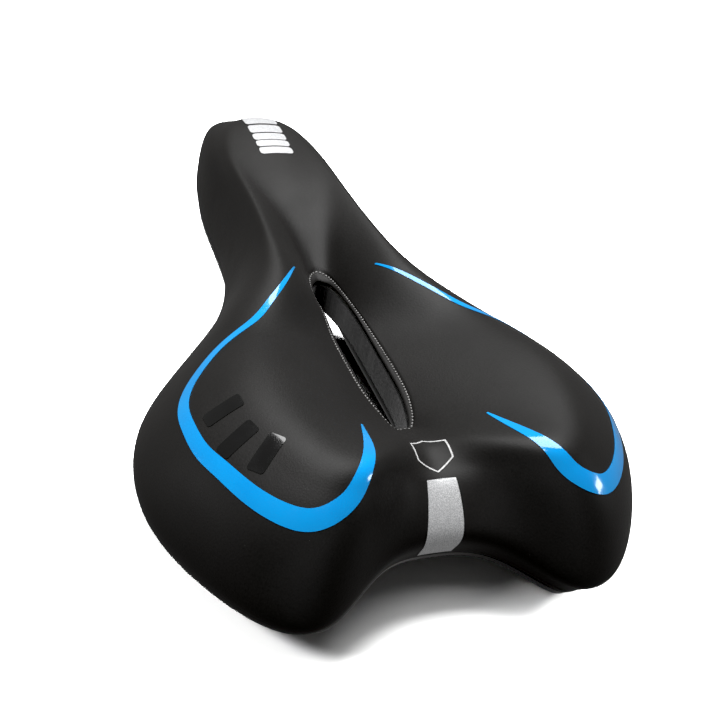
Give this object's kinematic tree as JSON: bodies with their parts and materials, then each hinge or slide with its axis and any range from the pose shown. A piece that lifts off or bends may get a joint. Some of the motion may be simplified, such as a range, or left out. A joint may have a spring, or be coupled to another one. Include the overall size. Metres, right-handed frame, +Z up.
{
  "type": "bicycle saddle",
  "caption": "Padded bicycle saddle with deep rounded wings, a long relief slot, a moulded base shell and twin steel rails.",
  "frame": {"origin": "under the middle of the saddle's outline, on the plane that the wing rims and the rails' straight stretch rest on", "axes": "+Y towards the nose, +X to the rider's right, +Z up"},
  "size_m": [0.1742, 0.2713, 0.0599],
  "materials": {
    "cover": "matte synthetic leather with a fine grain",
    "foam": "open-cell polyurethane foam",
    "gel": "soft clear gel",
    "base_plastic": "glossy moulded polypropylene",
    "lining": "matte woven lining",
    "thread": "twisted thread",
    "rail_steel": "black painted steel wire",
    "nylon": "glass filled nylon",
    "screw_steel": "zinc plated",
    "blue_film": "glossy transfer film",
    "reflective_film": "retroreflective film with fine beads",
    "gloss_black_film": "mirror-like black film",
    "white_print": "thin white print"
  },
  "bodies": {
    "root": {"base_shell": "base_plastic", "cover": "cover", "foam_cushion": "foam", "gel_pad_left": "gel", "gel_pad_right": "gel", "gloss_bar_film_1": "gloss_black_film", "gloss_bar_film_2": "gloss_black_film", "gloss_bar_film_3": "gloss_black_film", "nose_bar_film_1": "reflective_film", "nose_bar_film_2": "reflective_film", "nose_bar_film_3": "reflective_film", "nose_bar_film_4": "reflective_film", "nose_bar_film_5": "reflective_film", "nose_rail_block": "nylon", "nose_rail_screw_front": "screw_steel", "nose_rail_screw_rear": "screw_steel", "outline_mark": "white_print", "rail_left": "rail_steel", "rail_right": "rail_steel", "rear_rail_block_left": "nylon", "rear_rail_block_right": "nylon", "rear_rail_screw_left_inner": "screw_steel", "rear_rail_screw_left_outer": "screw_steel", "rear_rail_screw_right_inner": "screw_steel", "rear_rail_screw_right_outer": "screw_steel", "rear_reflective_strip": "reflective_film", "slot_lining": "lining", "slot_stitching": "thread", "stripe_film_left": "blue_film", "stripe_film_right": "blue_film"}
  },
  "joints": []
}
